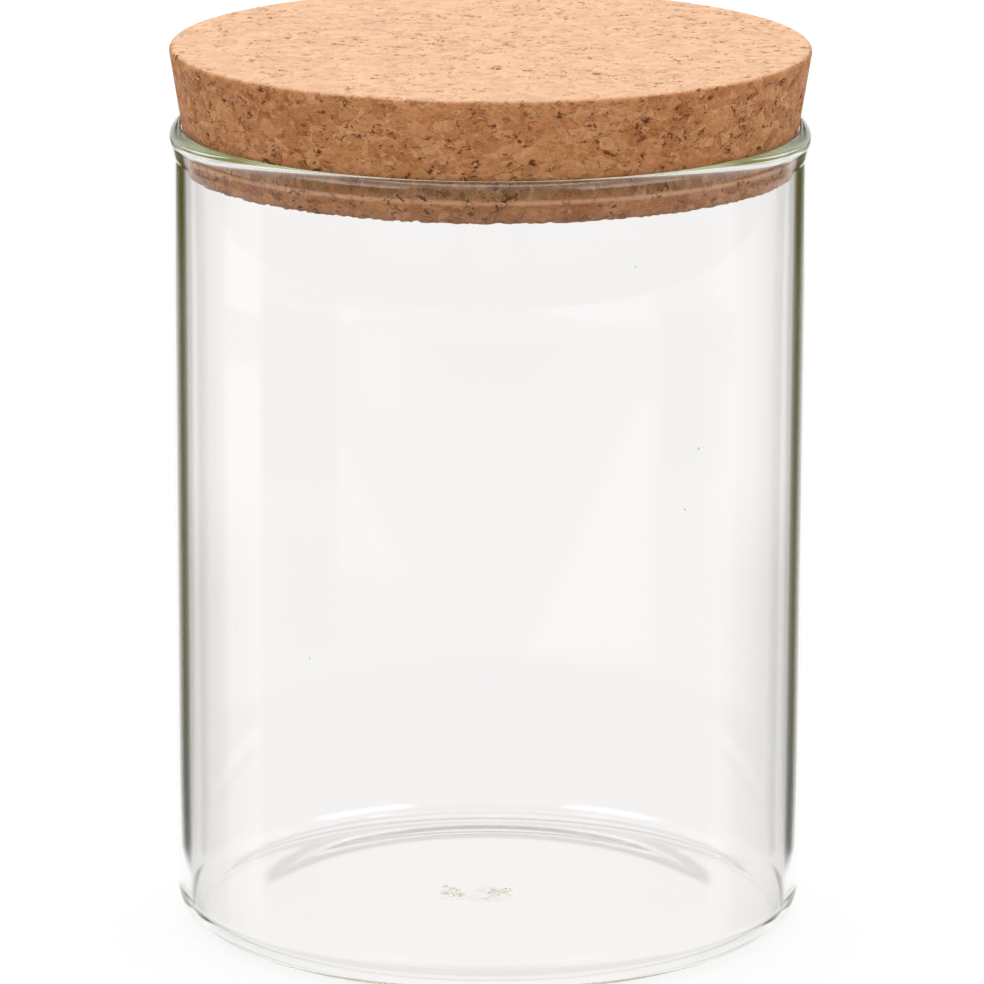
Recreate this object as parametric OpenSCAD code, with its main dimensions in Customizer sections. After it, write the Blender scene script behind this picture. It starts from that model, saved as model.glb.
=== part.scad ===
// Straight-sided glass storage jar with a tapered cork lid.
// Two pieces: a one-piece glass with a flared, fire-polished lip, and a stopper of
// agglomerated cork that drops into the mouth and wedges on its taper.
// Frame: +Z up, origin at the centre of the ring that the jar stands on.

/* [Jar] */
// Outside diameter of the straight wall
jar_d = 100; // [84:1:130]
// Height of the glass, from the table to the top of the lip
jar_h = 128.5; // [80:0.5:220]
// Thickness of the wall
wall_t = 2.1; // [1.6:0.1:3]

/* [Lip] */
// How far the lip stands out past the wall, all round
lip_flare = 0.5; // [0.3:0.05:1.2]
// Height of the flared band that the cork wedges in
lip_band_h = 5; // [4.2:0.1:6.5]
// Radius of the lip's outer rounding
lip_outer_r = 2.4; // [1.8:0.1:3.5]
// Radius of the lip's crown, melted round
lip_crown_r = 0.4; // [0.3:0.05:0.6]

/* [Base] */
// Outside radius where the wall turns under
heel_r = 4.7; // [3:0.1:9]
// Inside radius between the wall and the floor
heel_in_r = 2.8; // [2:0.1:8]
// Thickness of the glass over the standing ring
base_t = 1.6; // [1.4:0.1:4]
// Inner radius of the standing ring, where the underside starts to rise
ring_in_r = 42; // [24:0.5:43]
// Run of the rise, from the standing ring to the level middle
push_run = 12; // [5:0.5:18]
// Height of the rise
push_h = 0.6; // [0.5:0.1:2]
// Width of the drop of glass left at the middle of the underside
pip_d = 9; // [5:0.5:14]
// How far the drop hangs down
pip_h = 0.3; // [0.2:0.05:0.45]

/* [Cork lid] */
// Thickness of the cork
cork_h = 19.3; // [14:0.1:40]
// How deep the cork sits in the mouth
cork_in = 6.8; // [5:0.1:12]
// Taper of the cork's side from upright, and of the seat in the mouth
cork_taper = 9; // [6:0.2:10]
// Rounding of the top edge
cork_edge_r = 0.8; // [0.3:0.1:3]
// Chamfer of the bottom edge
cork_chamfer = 0.5; // [0.2:0.1:2]
// Gap between the cork and the glass, measured square to the axis
fit_gap = 0.15; // [0.1:0.05:0.4]

/* [Hidden] */

wall_r = jar_d / 2;
bore_r = wall_r - wall_t;
band_z = jar_h - lip_band_h;

// Seat in the mouth: a cone that opens upwards from the top of the straight bore
function seat_r(z) = bore_r + (z - band_z) * tan(cork_taper);
// Side of the cork, everywhere the same gap inside the seat's cone
function cork_r(z) = seat_r(z) - fit_gap;

// How far two arcs that meet run over each other, so that they cross and don't only touch
lap = 0.002;

// Crown of the lip: a small circle tangent to the seat and to the top of the glass
crown_z = jar_h - lip_crown_r;
crown_x = seat_r(crown_z) + lip_crown_r / cos(cork_taper) - lap;
// Outer rounding: an arc that takes in the crown and stands upright where the lip is widest
lip_r = wall_r + lip_flare;
arc_x = lip_r - lip_outer_r;
arc_z = crown_z - sqrt((lip_outer_r - lip_crown_r + lap) ^ 2 - (crown_x - arc_x) ^ 2);
arc_end = atan2(crown_z - arc_z, crown_x - arc_x);
// Flare: a cone from the wall that runs into the outer rounding without a kink
foot_gap = norm([wall_r - arc_x, band_z - arc_z]);
flare_angle = atan2(band_z - arc_z, wall_r - arc_x) + acos((lip_outer_r - lap) / foot_gap);

cork_z = jar_h - cork_in;
cork_top_z = cork_z + cork_h;

// Smoothness of arcs in a section, of the shallow lens under the base, and of the revolve
arc_fn = 160;
lens_fn = 360;
turn_fn = 240;
// Overshoot of a cutting shape past the face that it cuts
over = 2;

glass_tint = [0.87, 0.93, 0.90, 0.35];
cork_tan = [0.73, 0.53, 0.36];

// Rectangle from the axis out to radius r, between two heights
module disc_section(r, z_low, z_high) {
    translate([0, z_low])
        square([r, z_high - z_low]);
}

// Wall and base filled to the axis: straight side, and a heel that turns under
module body_section() {
    disc_section(wall_r, heel_r, band_z);
    disc_section(wall_r - heel_r, 0, heel_r);
    translate([wall_r - heel_r, heel_r])
        circle(heel_r, $fn = arc_fn);
}

// Flared lip filled to the axis: a cone that widens, the outer rounding and the melted crown
module lip_section() {
    reach = 2 * lip_outer_r;
    arc_start = flare_angle - 5;
    touch_r = lip_outer_r - lap;
    seat_touch_z = crown_z + lip_crown_r * sin(cork_taper);
    polygon([[0, band_z], [wall_r, band_z],
             [arc_x + touch_r * cos(flare_angle), arc_z + touch_r * sin(flare_angle)],
             [arc_x, arc_z], [0, arc_z]]);
    intersection() {
        translate([arc_x, arc_z])
            circle(lip_outer_r, $fn = arc_fn);
        translate([arc_x, arc_z])
            polygon([[0, 0], [reach * cos(arc_start), reach * sin(arc_start)], [reach, 0],
                     [reach * cos(arc_end), reach * sin(arc_end)]]);
    }
    polygon([[0, arc_z], [arc_x, arc_z], [crown_x, crown_z], [seat_r(seat_touch_z), seat_touch_z],
             [0, seat_touch_z]]);
    translate([crown_x, crown_z])
        circle(lip_crown_r, $fn = arc_fn);
}

// Low plateau with a soft S-shaped shoulder, two equal arcs that meet half way up
module rise_section(r_out, run, rise) {
    bend_r = (run ^ 2 + rise ^ 2) / (4 * rise);
    intersection() {
        union() {
            disc_section(r_out - run, 0, rise);
            translate([r_out - run, rise + lap - bend_r])
                circle(bend_r, $fn = lens_fn);
            difference() {
                translate([r_out - run / 2, 0])
                    square([run / 2, rise]);
                translate([r_out, bend_r - lap])
                    circle(bend_r, $fn = lens_fn);
            }
        }
        disc_section(r_out, 0, rise);
    }
}

// Hollow of the jar: floor, inside heel, straight bore and the seat's cone
module hollow_section() {
    difference() {
        union() {
            disc_section(bore_r - heel_in_r, base_t, base_t + heel_in_r);
            disc_section(bore_r, base_t + heel_in_r, band_z);
            translate([bore_r - heel_in_r, base_t + heel_in_r])
                circle(heel_in_r, $fn = arc_fn);
        }
        translate([0, base_t])
            rise_section(ring_in_r, push_run, push_h);
    }
    polygon([[0, band_z], [bore_r, band_z], [seat_r(jar_h + over), jar_h + over], [0, jar_h + over]]);
}

// Drop of glass left where the base was closed: a shallow lens under the middle
module pip_section() {
    lens_r = (pip_d ^ 2 / 4 + pip_h ^ 2) / (2 * pip_h);
    intersection() {
        translate([0, push_h - pip_h + lens_r])
            circle(lens_r, $fn = lens_fn);
        disc_section(pip_d, 0, push_h + base_t / 2);
    }
}

module glass_jar() {
    color(glass_tint)
        rotate_extrude($fn = turn_fn)
            difference() {
                union() {
                    body_section();
                    lip_section();
                }
                hollow_section();
                difference() {
                    rise_section(ring_in_r, push_run, push_h);
                    pip_section();
                }
            }
}

// Section of the cork: chamfered below, and rounded above by a circle that the flat top
// and the tapered side cut
module cork_section() {
    chamfer_z = cork_z + cork_chamfer;
    edge_z = cork_top_z - cork_edge_r;
    edge_x = cork_r(edge_z) - cork_edge_r / cos(cork_taper);
    out_x = edge_x + (cork_edge_r + over) * cos(cork_taper);
    out_z = edge_z - (cork_edge_r + over) * sin(cork_taper);
    intersection() {
        polygon([[0, cork_z], [cork_r(chamfer_z) - cork_chamfer, cork_z],
                 [cork_r(chamfer_z), chamfer_z], [cork_r(cork_top_z), cork_top_z],
                 [0, cork_top_z]]);
        union() {
            polygon([[0, cork_z], [out_x, cork_z], [out_x, out_z], [edge_x, edge_z],
                     [edge_x, cork_top_z], [0, cork_top_z]]);
            translate([edge_x, edge_z])
                circle(cork_edge_r + lap, $fn = arc_fn);
        }
    }
}

module cork_lid() {
    color(cork_tan)
        rotate_extrude($fn = turn_fn)
            cork_section();
}

glass_jar();
cork_lid();
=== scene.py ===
"""Straight-sided glass storage jar with a tapered lid of agglomerated cork, on a white studio floor."""
import random
from math import acos, asin, atan2, cos, exp, pi, radians, sin, sqrt, tan

import bmesh
import bpy
import numpy as np
from mathutils import Matrix, Vector


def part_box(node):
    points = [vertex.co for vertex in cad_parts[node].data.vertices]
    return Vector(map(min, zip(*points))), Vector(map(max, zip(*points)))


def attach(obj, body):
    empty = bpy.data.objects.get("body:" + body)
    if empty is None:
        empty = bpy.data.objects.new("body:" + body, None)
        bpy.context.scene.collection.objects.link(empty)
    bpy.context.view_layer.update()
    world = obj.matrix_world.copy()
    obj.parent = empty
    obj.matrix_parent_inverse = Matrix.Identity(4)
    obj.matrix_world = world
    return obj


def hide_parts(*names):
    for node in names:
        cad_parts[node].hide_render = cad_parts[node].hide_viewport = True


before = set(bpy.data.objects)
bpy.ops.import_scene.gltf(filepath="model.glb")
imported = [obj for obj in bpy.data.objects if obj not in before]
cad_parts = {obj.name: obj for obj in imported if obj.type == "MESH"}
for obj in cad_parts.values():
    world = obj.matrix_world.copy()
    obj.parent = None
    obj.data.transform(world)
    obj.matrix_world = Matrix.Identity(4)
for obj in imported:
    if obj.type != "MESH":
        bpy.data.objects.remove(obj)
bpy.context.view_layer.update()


# The glass jar. One piece of clear borosilicate glass, formed from a drawn tube: a straight thin
# wall, a heel that turns under to a narrow standing ring, a base pushed up a little with the mark
# of its closing in the middle, and a lip that was cut, flared and fire-polished round.
def linear(hex_colour):
    """An sRGB colour such as 'D39365' as linear red, green, blue and alpha."""
    parts = [int(hex_colour[i:i + 2], 16) / 255 for i in (0, 2, 4)]
    return tuple(c / 12.92 if c <= 0.04045 else ((c + 0.055) / 1.055) ** 2.4 for c in parts) + (1.0,)


def add_node(tree, kind, links=None, **settings):
    """A new node with its settings, and each named input set to a value or linked to a socket."""
    node = tree.nodes.new(kind)
    for name, value in settings.items():
        setattr(node, name, value)
    for name, value in (links or {}).items():
        if isinstance(value, bpy.types.NodeSocket):
            tree.links.new(value, node.inputs[name])
        else:
            node.inputs[name].default_value = value
    return node


def new_material(name):
    """An empty node material with its output node."""
    material = bpy.data.materials.new(name)
    material.use_nodes = True
    material.node_tree.nodes.clear()
    return material, material.node_tree, add_node(material.node_tree, "ShaderNodeOutputMaterial")


def arc(centre_r, centre_z, radius, start, end, steps):
    """Points of an arc in a section, radius against height, by angles in degrees from +r."""
    angles = [radians(start + (end - start) * i / steps) for i in range(steps + 1)]
    return [(centre_r + radius * cos(a), centre_z + radius * sin(a)) for a in angles]


def line(start, end, steps):
    """Points along a straight stretch of a section, both ends included."""
    return [(start[0] + (end[0] - start[0]) * i / steps, start[1] + (end[1] - start[1]) * i / steps)
            for i in range(steps + 1)]


def join(*stretches):
    """The stretches of a section as one row of points, with every end that two of them share once."""
    points = []
    for r, z in sum(stretches, []):
        if not points or abs(r - points[-1][0]) + abs(z - points[-1][1]) > 1e-7:
            points.append((r, z))
    return points


def revolve(mesh_name, section, turns):
    """A closed skin that a section makes as it goes once round the Z axis. The section runs from
    the axis below, outwards and up, and back to the axis, so the faces point outwards."""
    shape = bmesh.new()
    rings = []
    for r, z in section:
        if r < 1e-9:
            rings.append([shape.verts.new((0, 0, z))])
        else:
            rings.append([shape.verts.new((r * cos(2 * pi * k / turns), r * sin(2 * pi * k / turns), z))
                          for k in range(turns)])
    for low, high in zip(rings, rings[1:]):
        for k in range(turns):
            after = (k + 1) % turns
            if len(low) == 1:
                shape.faces.new((low[0], high[after], high[k]))
            elif len(high) == 1:
                shape.faces.new((low[k], low[after], high[0]))
            else:
                shape.faces.new((low[k], low[after], high[after], high[k]))
    for face in shape.faces:
        face.smooth = True
    mesh = bpy.data.meshes.new(mesh_name)
    shape.to_mesh(mesh)
    shape.free()
    return mesh


mm = 0.001
jar_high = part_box("glass_jar")[1]
jar_h = jar_high[2]
wall_t = 2.1 * mm
lip_flare = 0.5 * mm
wall_r = jar_high[0] - lip_flare
bore_r = wall_r - wall_t
seat_taper = radians(9)
band_z = jar_h - 5.0 * mm
lip_outer_r = 2.4 * mm
crown_r = 0.4 * mm
heel_r = 4.7 * mm
heel_in_r = 2.8 * mm
base_t = 1.6 * mm
ring_in_r = 42 * mm
push_run = 12 * mm
push_h = 0.6 * mm
pip_r = 4.5 * mm
pip_h = 0.12 * mm
scar_reach = 9 * mm


def seat_r(z):
    """Radius of the conical seat in the mouth at a height."""
    return bore_r + (z - band_z) * tan(seat_taper)


def rise(low_z, steps):
    """The pushed-up step of the base, from the standing ring in to the level middle: two equal
    arcs that meet half way up."""
    bend_r = (push_run ** 2 + push_h ** 2) / (4 * push_h)
    half = np.degrees(asin(push_run / 2 / bend_r))
    foot = arc(ring_in_r, low_z + bend_r, bend_r, 270, 270 - half, steps)
    shoulder = arc(ring_in_r - push_run, low_z + push_h - bend_r, bend_r, 90 - half, 90, steps)
    return foot + shoulder[1:]


def glass_section():
    """The glass from the middle of the underside, round the outside and the lip, and down the
    bore to the middle of the floor."""
    drop = [(pip_r * i / 16, push_h - pip_h * (1 + cos(pi * i / 16)) / 2) for i in range(17)]
    underside = line((pip_r, push_h), (ring_in_r - push_run, push_h), 8)
    outer_rise = rise(0, 10)[::-1]
    stand = line((ring_in_r, 0), (wall_r - heel_r, 0), 4)
    heel = arc(wall_r - heel_r, heel_r, heel_r, 270, 360, 30)
    wall = line((wall_r, heel_r), (wall_r, band_z), 6)
    crown_z = jar_h - crown_r
    crown_x = seat_r(crown_z) + crown_r / cos(seat_taper)
    lip_x = wall_r + lip_flare - lip_outer_r
    lip_z = crown_z - sqrt((lip_outer_r - crown_r) ** 2 - (crown_x - lip_x) ** 2)
    lip_end = np.degrees(atan2(crown_z - lip_z, crown_x - lip_x))
    away = sqrt((wall_r - lip_x) ** 2 + (band_z - lip_z) ** 2)
    lip_start = np.degrees(atan2(band_z - lip_z, wall_r - lip_x) + acos(lip_outer_r / away))
    lip = arc(lip_x, lip_z, lip_outer_r, lip_start, lip_end, 24)
    band = line((wall_r, band_z), lip[0], 6)
    crown = arc(crown_x, crown_z, crown_r, lip_end, 180 - np.degrees(seat_taper), 16)
    seat = line(crown[-1], (bore_r, band_z), 12)
    bore = line((bore_r, band_z), (bore_r, base_t + heel_in_r), 6)
    inner_heel = arc(bore_r - heel_in_r, base_t + heel_in_r, heel_in_r, 360, 270, 30)
    floor_ring = line((bore_r - heel_in_r, base_t), (ring_in_r, base_t), 2)
    inner_rise = rise(base_t, 10)
    floor = line((ring_in_r - push_run, base_t + push_h), (scar_reach, base_t + push_h), 4)
    floor += line((scar_reach, base_t + push_h), (0, base_t + push_h), 45)
    return join(drop, underside, outer_rise, stand, heel, wall, band, lip, crown, seat, bore,
                inner_heel, floor_ring, inner_rise, floor)


def clear_glass():
    """Borosilicate glass, IOR 1.473, dead smooth from drawing and the flame. What iron is in it
    shows as green where the eye looks along the wall, at the lip and in the heel."""
    material, tree, output = new_material("borosilicate_glass")
    glass = add_node(tree, "ShaderNodeBsdfPrincipled", {
        "Base Color": linear("FEFDFD"), "Roughness": 0.0, "IOR": 1.473, "Transmission Weight": 1.0,
    })
    lit_through = add_node(tree, "ShaderNodeBsdfTransparent", {"Color": linear("F4F6F3")})
    path = add_node(tree, "ShaderNodeLightPath")
    mix = add_node(tree, "ShaderNodeMixShader", {
        0: path.outputs["Is Shadow Ray"], 1: glass.outputs[0], 2: lit_through.outputs[0]})
    iron = add_node(tree, "ShaderNodeVolumeAbsorption", {"Color": linear("DEE2C2"), "Density": 9.0})
    tree.links.new(mix.outputs[0], output.inputs["Surface"])
    tree.links.new(iron.outputs[0], output.inputs["Volume"])
    return material


def mark_closing(mesh):
    """The two small wrinkled scars in the floor where the flame closed the base. Each scar is a
    cluster of tiny bumps and dents, all in millimetres."""
    spots = random.Random(5)
    bumps = []
    for x, y, width, count in ((-6.1, 0.4, 1.7, 14), (1.7, 0.4, 1.6, 16)):
        for _ in range(count):
            bumps.append((x + spots.uniform(-1, 1) * width, y + spots.uniform(-1, 1) * width * 1.5,
                          spots.uniform(0.28, 0.5), spots.choice((-1, 1)) * spots.uniform(0.08, 0.2)))
    for vertex in mesh.vertices:
        x, y, z = (c / mm for c in vertex.co)
        in_floor = base_t < vertex.co.z < base_t + push_h + 0.1 * mm
        if in_floor and abs(x) < scar_reach / mm and abs(y) < 5:
            for at_x, at_y, wide, high in bumps:
                z += high * exp(-((x - at_x) ** 2 + (y - at_y) ** 2) / wide ** 2)
            vertex.co.z = z * mm


def add_seeds(mesh):
    """Seeds, the few tiny bubbles that the drawn wall keeps: closed hollows inside the glass. Each
    has its angle round the jar in degrees, and its height and radius in millimetres."""
    shape = bmesh.new()
    shape.from_mesh(mesh)
    r = wall_r - wall_t * 0.55
    for angle, z, size in ((-49.4, 84.6, 0.14), (-52.5, 75.4, 0.11), (-124.0, 52.0, 0.1),
                           (60.0, 97.0, 0.12), (151.0, 40.0, 0.11), (-12.0, 66.0, 0.1)):
        place = Matrix.Translation((r * cos(radians(angle)), r * sin(radians(angle)), z * mm))
        stretch = Matrix.Diagonal((1, 1, 1.8, 1))
        seed = bmesh.ops.create_icosphere(shape, subdivisions=2, radius=size * mm, matrix=place @ stretch)
        faces = {face for vertex in seed["verts"] for face in vertex.link_faces}
        bmesh.ops.reverse_faces(shape, faces=list(faces))
        for face in faces:
            face.smooth = True
    shape.to_mesh(mesh)
    shape.free()


glass_mesh = revolve("glass_jar_skin", glass_section(), 400)
mark_closing(glass_mesh)
add_seeds(glass_mesh)
glass_mesh.materials.append(clear_glass())
jar = bpy.data.objects.new("jar_glass", glass_mesh)
bpy.context.scene.collection.objects.link(jar)
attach(jar, "jar")
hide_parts("glass_jar")


# The cork lid. Granules of ground cork, 1 to 3 mm across, pressed with a binder into a block and
# turned to a tapered stopper. It wedges in the mouth by its taper and nothing else holds it.
lid_low, lid_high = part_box("cork_lid")
cork_top = lid_high[2]
cork_bottom = lid_low[2]
fit_gap = 0.15 * mm
top_edge_r = 0.8 * mm
bottom_chamfer = 0.5 * mm


def cork_r(z):
    """Radius of the cork's side at a height, the same gap inside the seat's cone everywhere."""
    return seat_r(z) - fit_gap


def cork_section():
    """The cork from the middle of its underside to the middle of its top."""
    step = 0.45 * mm
    chamfer_z = cork_bottom + bottom_chamfer
    edge_z = cork_top - top_edge_r
    edge_x = cork_r(edge_z) - top_edge_r / cos(seat_taper)
    under = line((0, cork_bottom), (cork_r(chamfer_z) - bottom_chamfer, cork_bottom), 14)
    chamfer = line(under[-1], (cork_r(chamfer_z), chamfer_z), 2)
    edge = arc(edge_x, edge_z, top_edge_r, -np.degrees(seat_taper), 90, 4)
    side = line(chamfer[-1], edge[0], round((edge[0][1] - chamfer_z) / step))
    top = line(edge[-1], (0, cork_top), round(edge_x / step * 0.8))
    return join(under, chamfer, side, edge, top)


def sums(tree):
    """A short way to write the tree's Math nodes: the kind of sum, then its values or sockets."""
    def math(kind, *values):
        return add_node(tree, "ShaderNodeMath", dict(enumerate(values)), operation=kind).outputs[0]
    return math


def vectors(tree):
    """A short way to write the tree's Vector Math nodes, which gives all the outputs."""
    def vector(kind, *values):
        return add_node(tree, "ShaderNodeVectorMath", dict(enumerate(values)), operation=kind).outputs
    return vector


def steps_of(tree):
    """A short way to write steps: a level that goes from one to another while a value goes from
    low to high, eased at both ends unless it's asked to be straight."""
    def step(value, low, high, at_low=0.0, at_high=1.0, ease="SMOOTHSTEP"):
        return add_node(tree, "ShaderNodeMapRange", {0: value, 1: low, 2: high, 3: at_low, 4: at_high},
                        interpolation_type=ease).outputs[0]
    return step


def mixes(tree):
    """A short way to write colour mixes: the share of the second colour, then the two colours."""
    def mix(share, first, second, kind="MIX"):
        return add_node(tree, "ShaderNodeMix", {0: share, 6: first, 7: second}, data_type="RGBA",
                        blend_type=kind).outputs[2]
    return mix


def cork_pattern(tree, place, granule, pore_gap, seed):
    """The pressed granules, in a shader or a geometry tree alike. Gives a random colour for each
    granule, how near an open seam between two granules is, how deep in a pore the point lies,
    and the place in the block with the flattening and the bends of the granules in it."""
    math, vector, step = sums(tree), vectors(tree), steps_of(tree)

    def noise(size, detail, shift, where):
        return add_node(tree, "ShaderNodeTexNoise", {
            "Vector": where, "W": math("ADD", seed, shift), "Scale": size, "Detail": detail,
            "Roughness": 0.6}, noise_dimensions="4D").outputs

    per_granule = math("DIVIDE", 1.0, granule)
    per_pore = math("DIVIDE", 1.0, pore_gap)
    flat = vector("MULTIPLY", place, (1.0, 1.0, 1.5))[0]
    bend = vector("SUBTRACT", noise(per_granule, 3.0, 0.3, flat)["Color"], (0.5, 0.5, 0.5))[0]
    bent = vector("ADD", flat, vector("MULTIPLY", bend, math("MULTIPLY", granule, 1.9))[0])[0]
    cells = add_node(tree, "ShaderNodeTexVoronoi", {
        "Vector": bent, "W": seed, "Scale": per_granule}, voronoi_dimensions="4D")
    edges = add_node(tree, "ShaderNodeTexVoronoi", {
        "Vector": bent, "W": seed, "Scale": per_granule},
        voronoi_dimensions="4D", feature="DISTANCE_TO_EDGE")
    near = math("SUBTRACT", 1.0, step(edges.outputs["Distance"], 0.0, 0.075))
    open_here = step(noise(math("MULTIPLY", per_granule, 0.8), 2.0, 2.2, flat)[0], 0.52, 0.62)
    seam = math("MULTIPLY", near, open_here)
    speck = step(noise(per_pore, 4.0, 4.1, bent)[0], 0.565, 0.62)
    cluster = step(noise(math("DIVIDE", per_pore, 3.5), 1.0, 7.7, place)[0], 0.38, 0.56)
    pore = math("MULTIPLY", speck, cluster)
    return cells.outputs["Color"], seam, pore, bent


granule_size = 2.2 * mm
pore_gap = 1.2 * mm
pattern_seed = 3.0


def cork_press():
    """Geometry tree that works the granules into a smooth blank: open seams and pores are cut
    inwards, and along the bottom edge grains have crumbled away."""
    tree = bpy.data.node_groups.new("pressed_cork_relief", "GeometryNodeTree")
    tree.interface.new_socket("Blank", in_out="INPUT", socket_type="NodeSocketGeometry")
    wanted = (("Granule Size", granule_size), ("Pore Gap", pore_gap), ("Seam Depth", 0.06 * mm),
              ("Pore Depth", 0.25 * mm), ("Edge Height", cork_bottom), ("Edge Reach", 0.9 * mm),
              ("Crumble Depth", 0.28 * mm), ("Crumble Size", 0.9 * mm), ("Seed", pattern_seed))
    for name, value in wanted:
        tree.interface.new_socket(name, in_out="INPUT", socket_type="NodeSocketFloat").default_value = value
    tree.interface.new_socket("Cork", in_out="INPUT", socket_type="NodeSocketMaterial")
    tree.interface.new_socket("Lid", in_out="OUTPUT", socket_type="NodeSocketGeometry")
    given = add_node(tree, "NodeGroupInput").outputs
    math, vector, step = sums(tree), vectors(tree), steps_of(tree)
    place = add_node(tree, "GeometryNodeInputPosition").outputs[0]
    _, seam, pore, _ = cork_pattern(
        tree, place, given["Granule Size"], given["Pore Gap"], given["Seed"])
    seam_cut = math("MULTIPLY", seam, given["Seam Depth"])
    cut = math("ADD", seam_cut, math("MULTIPLY", pore, given["Pore Depth"]))
    height = add_node(tree, "ShaderNodeSeparateXYZ", {0: place}).outputs[2]
    above = math("DIVIDE", math("SUBTRACT", height, given["Edge Height"]), given["Edge Reach"])
    at_edge = step(above, 0.0, 1.0, 1.0, 0.0)
    loose = add_node(tree, "ShaderNodeTexNoise", {
        "Vector": place, "W": given["Seed"], "Scale": math("DIVIDE", 1.0, given["Crumble Size"]),
        "Detail": 3.0}, noise_dimensions="4D").outputs[0]
    gone = step(loose, 0.42, 0.68, ease="LINEAR")
    crumble = math("MULTIPLY", math("MULTIPLY", gone, at_edge), given["Crumble Depth"])
    inward = math("MULTIPLY", math("ADD", cut, crumble), -1.0)
    normal = add_node(tree, "GeometryNodeInputNormal").outputs[0]
    moved = add_node(tree, "GeometryNodeSetPosition", {
        "Geometry": given["Blank"], "Offset": vector("MULTIPLY", normal, inward)[0]})
    real = add_node(tree, "GeometryNodeRealizeInstances", {"Geometry": moved.outputs[0]})
    dressed = add_node(tree, "GeometryNodeSetMaterial", {
        "Geometry": real.outputs[0], "Material": given["Cork"]})
    add_node(tree, "NodeGroupOutput", {0: dressed.outputs[0]})
    return tree


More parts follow.
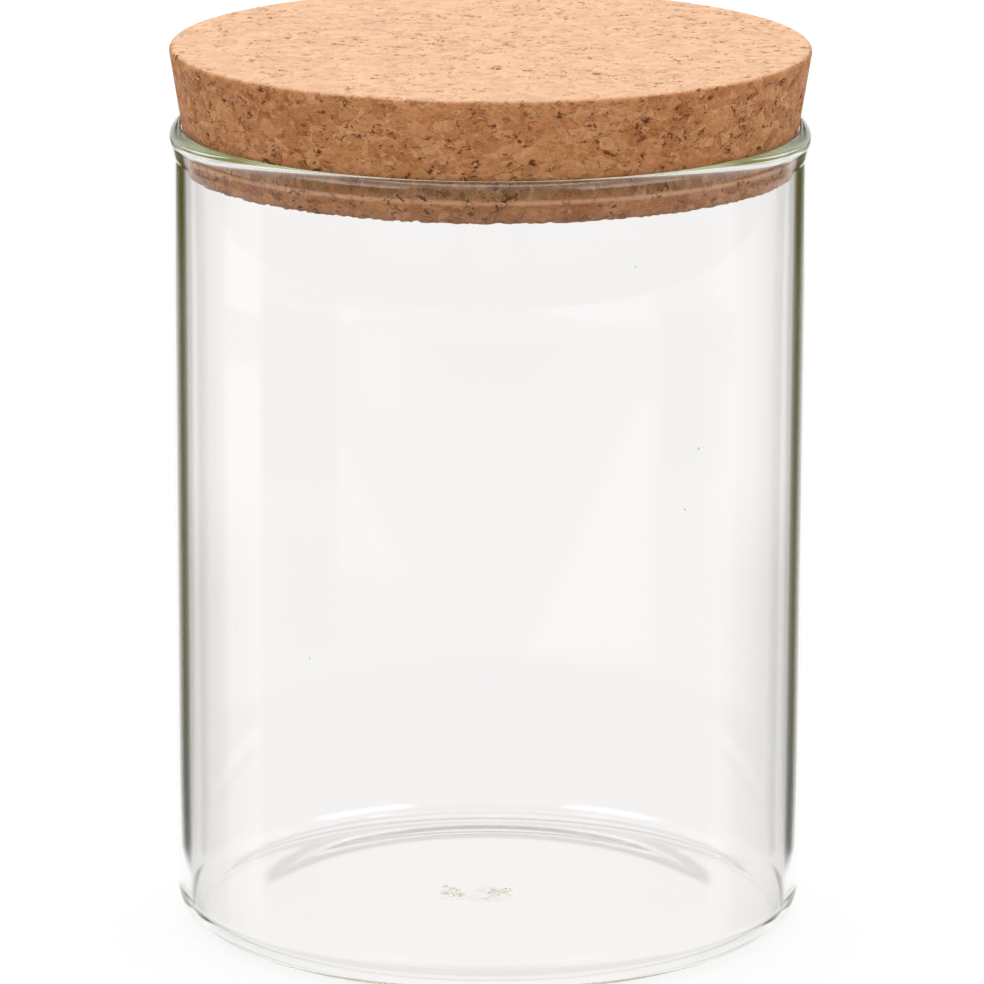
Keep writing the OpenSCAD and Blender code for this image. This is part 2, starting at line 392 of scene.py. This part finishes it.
def pressed_cork():
    """Agglomerated cork, turned smooth: matt and warm tan, each granule a shade of its own with
    the growth lines of the bark in it, dark open pores and a pale bloom at grazing angles. On it
    are painted light and shade: a paler top face as painted sheen, a grey band of painted shade
    where the lip covers it, and a pale painted highlight line below that band."""
    material, tree, output = new_material("agglomerated_cork")
    math, vector, step, mix = sums(tree), vectors(tree), steps_of(tree), mixes(tree)

    def clouds(where, size, detail=3.0, roughness=0.5):
        """Noise whose largest lumps are of this size."""
        return add_node(tree, "ShaderNodeTexNoise", {
            "Vector": where, "Scale": 1 / size, "Detail": detail, "Roughness": roughness}).outputs[0]

    place = add_node(tree, "ShaderNodeTexCoord").outputs["Object"]
    colour, seam, pore, bent = cork_pattern(tree, place, granule_size, pore_gap, pattern_seed)
    lot = add_node(tree, "ShaderNodeSeparateXYZ", {0: colour}).outputs
    way = vector("NORMALIZE", vector("SUBTRACT", colour, (0.5, 0.5, 0.5))[0])[0]
    squeeze = math("MULTIPLY", vector("DOT_PRODUCT", bent, way)[1], 3.5)
    across = vector("ADD", bent, vector("MULTIPLY", way, squeeze)[0])[0]
    layers = clouds(across, 1.9 * mm, roughness=0.65)
    grain = clouds(bent, 0.55 * mm, 4.0, 0.65)
    fleck = step(clouds(vector("ADD", bent, (0.3, 0.1, 0.2))[0], 1.3 * mm), 0.60, 0.72)
    shade = math("ADD", math("MULTIPLY", lot[0], 0.30), math("MULTIPLY", layers, 0.62))
    shade = math("ADD", shade, math("MULTIPLY", grain, 0.55))
    tone = add_node(tree, "ShaderNodeValToRGB", {0: step(shade, 0.46, 1.02, ease="LINEAR")})
    ramp = tone.color_ramp
    ramp.elements[0].color = linear("A65C30")
    ramp.elements[1].color = linear("FABF8A")
    for at, hexa in ((0.30, "C98150"), (0.55, "DC9562"), (0.8, "EAA877")):
        ramp.elements.new(at).color = linear(hexa)
    body = mix(math("MULTIPLY", lot[1], 0.30), tone.outputs[0], linear("D89E62"))
    body = mix(math("MULTIPLY", fleck, 0.45), body, linear("FFD2A0"))
    height_in = add_node(tree, "ShaderNodeSeparateXYZ", {0: place}).outputs[2]
    # painted sheen: the top face is painted paler, standing in for the white grazing reflection that
    # lightens it
    painted_top_sheen = step(height_in, cork_top - 0.4 * mm, cork_top - 0.1 * mm, ease="LINEAR")
    body = mix(math("MULTIPLY", painted_top_sheen, 0.44), body, linear("FADFC2"))
    upright = vector("MULTIPLY", place, (1.0, 1.0, 0.12))[0]
    streaks = clouds(upright, 1.1 * mm)
    # painted shade: a streaky grey band is multiplied into the side where the glass lip covers the cork,
    # standing in for the shade in the seat and the dark reflections in the lip
    painted_lip_shade_band = add_node(tree, "ShaderNodeValToRGB", {
        0: math("DIVIDE", math("SUBTRACT", height_in, cork_bottom), 10 * mm)})
    painted_lip_shade_band.color_ramp.elements[0].position = 0.36
    painted_lip_shade_band.color_ramp.elements[0].color = (0, 0, 0, 1)
    painted_lip_shade_band.color_ramp.elements[1].position = 0.46
    painted_lip_shade_band.color_ramp.elements[1].color = (1, 1, 1, 1)
    for at, level in ((0.60, 1.0), (0.655, 0.0)):
        painted_lip_shade_band.color_ramp.elements.new(at).color = (level, level, level, 1)
    painted_lip_shade = math("MULTIPLY", painted_lip_shade_band.outputs[0], step(streaks, 0.35, 0.65, 0.35, 0.8, "LINEAR"))
    body = mix(painted_lip_shade, body, (0.42, 0.46, 0.5, 1.0), "MULTIPLY")
    # painted highlight: pressed is a pale line painted round the side below that band, standing in for the
    # bright line of light that the lip throws onto the cork
    from_line = math("ABSOLUTE", math("SUBTRACT", height_in, cork_bottom + 3.5 * mm))
    pressed = step(from_line, 0.15 * mm, 0.5 * mm, 1.0, 0.0, "LINEAR")
    body = mix(math("MULTIPLY", pressed, math("MULTIPLY_ADD", streaks, 0.8, 0.5)), body, linear("FFC8A0"))
    # painted sheen, continued: seams and pores are drawn fainter on the top face, as if under that painted
    # sheen
    closed = math("SUBTRACT", 1.0, math("MULTIPLY", painted_top_sheen, 0.3))
    body = mix(math("MULTIPLY", math("MULTIPLY", seam, closed), 0.6), body, linear("8A4C26"))
    body = mix(math("MULTIPLY", math("MULTIPLY", pore, closed), 0.9), body, linear("6B3413"))
    height = math("SUBTRACT", grain, math("MULTIPLY", math("ADD", seam, pore), 1.2))
    bump = add_node(tree, "ShaderNodeBump", {"Height": height, "Distance": 0.1 * mm, "Strength": 0.6})
    surface = add_node(tree, "ShaderNodeBsdfPrincipled", {
        "Base Color": body, "Roughness": 0.85, "IOR": 1.4, "Specular IOR Level": 0.35,
        "Sheen Weight": 0.08, "Sheen Roughness": 0.4, "Normal": bump.outputs[0]})
    tree.links.new(surface.outputs[0], output.inputs["Surface"])
    return material


blank = bpy.data.objects.new("cork_blank", revolve("cork_blank", cork_section(), 600))
bpy.context.scene.collection.objects.link(blank)
press = blank.modifiers.new("press", "NODES")
press.node_group = cork_press()
sockets = {s.name: s.identifier for s in press.node_group.interface.items_tree if s.in_out == "INPUT"}
press[sockets["Cork"]] = pressed_cork()
pressed = blank.evaluated_get(bpy.context.evaluated_depsgraph_get())
lid_mesh = bpy.data.meshes.new_from_object(pressed)
lid_mesh.name = "cork_lid_skin"
bpy.data.objects.remove(blank)
lid = bpy.data.objects.new("lid_cork", lid_mesh)
bpy.context.scene.collection.objects.link(lid)
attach(lid, "lid")
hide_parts("cork_lid")


# The set. A white floor that keeps the jar's shadow, a soft box overhead, and round it, for glass
# alone, white cards with a few dark and beige strips, which draw the lines of the clear glass, and
# the dim room in front that its wall mirrors.
def level_ramps(tree):
    """A short way to write a level from 0 to 1 for a value from -reach to reach, straight between
    the stops, each a value and its level."""
    math = sums(tree)

    def levels(value, reach, *stops):
        node = add_node(tree, "ShaderNodeValToRGB", {0: math("MULTIPLY_ADD", value, 0.5 / reach, 0.5)})
        points = node.color_ramp.elements
        while len(points) < len(stops):
            points.new(1.0)
        for point, (at, level) in zip(points, stops):
            point.position = at / reach / 2 + 0.5
            point.color = (level, level, level, 1)
        return node.outputs[0]
    return levels


def set_floor():
    """Matt white paper. The eye sees it as plain white with the shadow left in, and the glass sees
    the cards of the world instead of it."""
    material, tree, output = new_material("white_paper_floor")
    seen = add_node(tree, "ShaderNodeLightPath").outputs["Is Camera Ray"]
    paper = add_node(tree, "ShaderNodeBsdfDiffuse", {"Color": linear("E6E6E6")})
    dim_paper = add_node(tree, "ShaderNodeBsdfDiffuse", {"Color": linear("8A8A8A")})
    glow = add_node(tree, "ShaderNodeEmission", {"Color": (1, 1, 1, 1), "Strength": 0.78})
    both = add_node(tree, "ShaderNodeAddShader", {0: glow.outputs[0], 1: dim_paper.outputs[0]})
    mix = add_node(tree, "ShaderNodeMixShader", {0: seen, 1: paper.outputs[0], 2: both.outputs[0]})
    tree.links.new(mix.outputs[0], output.inputs["Surface"])
    shape = bmesh.new()
    bmesh.ops.create_circle(shape, cap_ends=True, segments=96, radius=3.0)
    mesh = bpy.data.meshes.new("floor")
    shape.to_mesh(mesh)
    shape.free()
    mesh.materials.append(material)
    floor = bpy.data.objects.new("floor", mesh)
    bpy.context.scene.collection.objects.link(floor)
    floor.visible_transmission = False
    floor.visible_glossy = False


def back_cards(tree, side, z):
    """White card behind the jar, with the strips that draw its lines: a dark flag at each side,
    which the wall's edges gather, and low and high strips that the base gathers into rings."""
    math, step, mix, levels = sums(tree), steps_of(tree), mixes(tree), level_ramps(tree)
    flag_start = levels(z, 1, (-0.300, 0.80), (-0.2955, 0.60), (-0.2925, 0.46), (-0.289, 0.38),
                        (-0.277, 0.32), (-0.19, 0.28))
    flag = step(math("SUBTRACT", side, math("MULTIPLY", flag_start, 50)), 0, 5)
    flag = math("MULTIPLY", flag, levels(side, 180, (29, 1.0), (35, 0.34), (44, 0.24), (54, 0.0)))
    flag = math("MULTIPLY", flag, levels(z, 1, (-0.2975, 0), (-0.2945, 1), (-0.13, 1), (-0.08, 0)))
    flag_colour = mix(step(z, -0.29, -0.25), linear("40403A"), linear("524E1E"))
    cards = mix(flag, (1, 1, 1, 1), flag_colour)
    haze = math("MULTIPLY", step(side, 8, 60), 0.03)
    cards = mix(haze, cards, (0, 0, 0, 1))
    low_strip = levels(z, 1, (-0.42, 0), (-0.40, 0.15), (-0.352, 0.15), (-0.34, 0))
    cards = mix(math("MULTIPLY", low_strip, step(side, 20, 36, 1, 0)), cards, linear("5A5030"))
    high_strips = levels(z, 1, (0.06, 0), (0.09, 0.95), (0.15, 0.95), (0.165, 0), (0.185, 0),
                         (0.20, 0.6), (0.235, 0.6), (0.252, 0))
    return mix(math("MULTIPLY", high_strips, step(side, 9, 31, 1, 0)), cards, linear("545028"))


def front_cards(tree, cards, side, z):
    """Grey card in front, darker and beige near the table, and low cards at the sides that the
    lip and the heel see."""
    math, step, mix, levels = sums(tree), steps_of(tree), mixes(tree), level_ramps(tree)
    front = step(side, 70, 110)
    cards = mix(front, cards, linear("DCDCDC"))
    cards = mix(math("MULTIPLY", front, step(z, -0.46, -0.40, 1, 0)), cards, linear("B8AE88"))
    under = levels(z, 1, (-0.66, 0), (-0.60, 1), (-0.50, 1), (-0.45, 0))
    under = math("MULTIPLY", under, levels(side, 180, (4, 0), (10, 0.3), (24, 0.3), (30, 0)))
    cards = mix(under, cards, linear("5C5230"))
    low_side = levels(z, 1, (-0.40, 0), (-0.37, 0.9), (-0.32, 0.9), (-0.30, 0.4), (-0.25, 0.4),
                      (-0.235, 0))
    low_side = math("MULTIPLY", low_side, levels(side, 180, (32, 0), (40, 1), (72, 1), (86, 0)))
    return mix(low_side, cards, linear("4A4024"))


def mirrored_studio(tree, x, y, z):
    """The room in front of the jar as its wall mirrors it: a grey wall with pale windows, darker
    doorways and the table. Across the jar u runs from -1 to 1, and v from 0 under the lip to 1
    at the heel."""
    math, step = sums(tree), steps_of(tree)
    lip_z, heel_z = -0.19, -0.2786
    level_reach = math("SQRT", math("ADD", math("MULTIPLY", x, x), math("MULTIPLY", y, y)))
    half = math("SQRT", math("MULTIPLY_ADD", math("DIVIDE", y, level_reach), 0.5, 0.5))
    u = math("MULTIPLY", half, math("SIGN", x))
    v = math("DIVIDE", math("SUBTRACT", z, lip_z), heel_z - lip_z)

    def panel(left, right, top, bottom, left_lean=0.0, right_lean=0.0):
        """A soft panel of the studio; each side may lean, moving across as it goes down."""
        down = math("SUBTRACT", v, top)
        from_left = math("SUBTRACT", math("SUBTRACT", u, left), math("MULTIPLY", down, left_lean))
        to_right = math("SUBTRACT", math("SUBTRACT", u, right), math("MULTIPLY", down, right_lean))
        wide = math("MULTIPLY", step(from_left, -0.015, 0.015), step(to_right, -0.015, 0.015, 1, 0))
        high = math("MULTIPLY", step(down, -0.02, 0.02), step(v, bottom - 0.03, bottom + 0.03, 1, 0))
        return math("MULTIPLY", wide, high)

    away = math("ADD", math("POWER", math("DIVIDE", math("ADD", u, -0.02), 0.30), 2.0),
                math("POWER", math("DIVIDE", math("ADD", v, -0.15), 0.23), 2.0))
    studio = math("MULTIPLY_ADD", step(away, 0.85, 1.05, 1, 0), -0.42, 0.50)
    table = step(math("MULTIPLY_ADD", math("MULTIPLY", u, u), -0.127, v), 0.775, 0.81)
    studio = math("MULTIPLY_ADD", table, -0.46, studio)
    panels = ((0.70, panel(-0.83, -0.715, 0.33, 1.6)),
              (0.38, panel(0.70, 0.77, 0.35, 1.6)),
              (-0.42, panel(-0.715, -0.47, -0.5, 0.52)),
              (-0.36, panel(0.54, 0.75, -0.5, 0.50)),
              (-0.26, panel(-0.70, -0.47, 0.60, 0.80)),
              (0.18, panel(-0.41, -0.28, -0.5, 0.40)),
              (0.52, panel(-0.472, -0.472, 0.44, 0.66, 0.0, 0.946)),
              (0.58, panel(0.46, 0.52, 0.39, 0.80, -0.84, 0.0)))
    for brighter, where in panels:
        studio = math("MULTIPLY_ADD", where, brighter, studio)
    return math("MAXIMUM", studio, 0.0)


def set_world():
    """White to the eye, a plain soft fill for matt surfaces, and for glass the cards and strips.
    A direction is told by its height, -1 straight down to 1 straight up, and by its angle to
    either side of straight behind the jar."""
    world = bpy.data.worlds.new("studio")
    bpy.context.scene.world = world
    world.use_nodes = True
    tree = world.node_tree
    tree.nodes.clear()
    math, step, mix, levels = sums(tree), steps_of(tree), mixes(tree), level_ramps(tree)
    path = add_node(tree, "ShaderNodeLightPath").outputs
    way = add_node(tree, "ShaderNodeTexCoord").outputs["Generated"]
    x, y, z = add_node(tree, "ShaderNodeSeparateXYZ", {0: way}).outputs
    side = math("DEGREES", math("ABSOLUTE", math("ARCTAN2", x, y)))
    cards = front_cards(tree, back_cards(tree, side, z), side, z)

    mirrored = math("SUBTRACT", 1.0, path["Is Transmission Ray"])
    ceiling = step(z, 0.6, 0.8, 0.2, 1.3, "LINEAR")
    cards = mix(math("MULTIPLY", step(side, 35, 60), mirrored), cards, ceiling)
    wall_height = levels(z, 1, (-0.32, 0), (-0.305, 1), (-0.17, 1), (-0.15, 0))
    in_wall = math("MULTIPLY", step(side, 55, 75), wall_height)
    cards = mix(math("MULTIPLY", in_wall, mirrored), cards, mirrored_studio(tree, x, y, z))

    boxes = math("MULTIPLY", step(side, 95, 105), step(side, 140, 150, 1, 0))
    boxes = math("MULTIPLY", boxes, levels(z, 1, (0.45, 0), (0.50, 1), (0.72, 1), (0.77, 0)))
    overhead = step(z, 0.90, 0.93)
    cards = mix(math("MAXIMUM", boxes, overhead), cards, (4.0, 4.0, 4.0, 1.0))

    fill = add_node(tree, "ShaderNodeBackground", {"Color": (1, 1, 1, 1), "Strength": 0.5})
    for_glass = add_node(tree, "ShaderNodeBackground", {"Color": cards, "Strength": 1.0})
    white = add_node(tree, "ShaderNodeBackground", {"Color": (1, 1, 1, 1), "Strength": 1.0})
    through = math("MAXIMUM", path["Is Glossy Ray"], path["Is Transmission Ray"])
    inner = add_node(tree, "ShaderNodeMixShader", {0: through, 1: fill.outputs[0], 2: for_glass.outputs[0]})
    outer = add_node(tree, "ShaderNodeMixShader", {
        0: path["Is Camera Ray"], 1: inner.outputs[0], 2: white.outputs[0]})
    add_node(tree, "ShaderNodeOutputWorld", {"Surface": outer.outputs[0]})


def set_lamp(name, place, aim, size, watts):
    """A square soft box that the glass doesn't mirror."""
    lamp = bpy.data.lights.new(name, "AREA")
    lamp.shape = "SQUARE"
    lamp.size = size
    lamp.energy = watts
    holder = bpy.data.objects.new(name, lamp)
    holder.location = place
    holder.rotation_euler = (Vector(aim) - Vector(place)).to_track_quat("-Z", "Y").to_euler()
    holder.visible_glossy = False
    holder.visible_transmission = False
    holder.visible_camera = False
    bpy.context.scene.collection.objects.link(holder)


def set_camera():
    """The photograph's long lens, nearly level with the lid, as fitted to the jar's own outline."""
    camera = bpy.data.cameras.new("camera")
    camera.sensor_width = 36.0
    camera.lens = 251.5
    camera.clip_end = 20.0
    holder = bpy.data.objects.new("camera", camera)
    tilt = Matrix.Rotation(radians(90 - 13.729), 4, "X")
    turn = Matrix.Rotation(radians(-0.024), 4, "Z")
    roll = Matrix.Rotation(radians(0.189), 4, "Z")
    holder.matrix_world = Matrix.Translation((0, -1.06394, 0.32843)) @ turn @ tilt @ roll
    bpy.context.scene.collection.objects.link(holder)
    bpy.context.scene.camera = holder


set_floor()
set_world()
set_lamp("overhead_soft_box", (0.0, 0.15, 1.3), (0, 0, 0.1), 1.1, 12.1)
set_camera()
scene = bpy.context.scene
scene.view_settings.view_transform = "Standard"
scene.cycles.max_bounces = 256
scene.cycles.glossy_bounces = 256
scene.cycles.transmission_bounces = 256
scene.cycles.transparent_max_bounces = 16
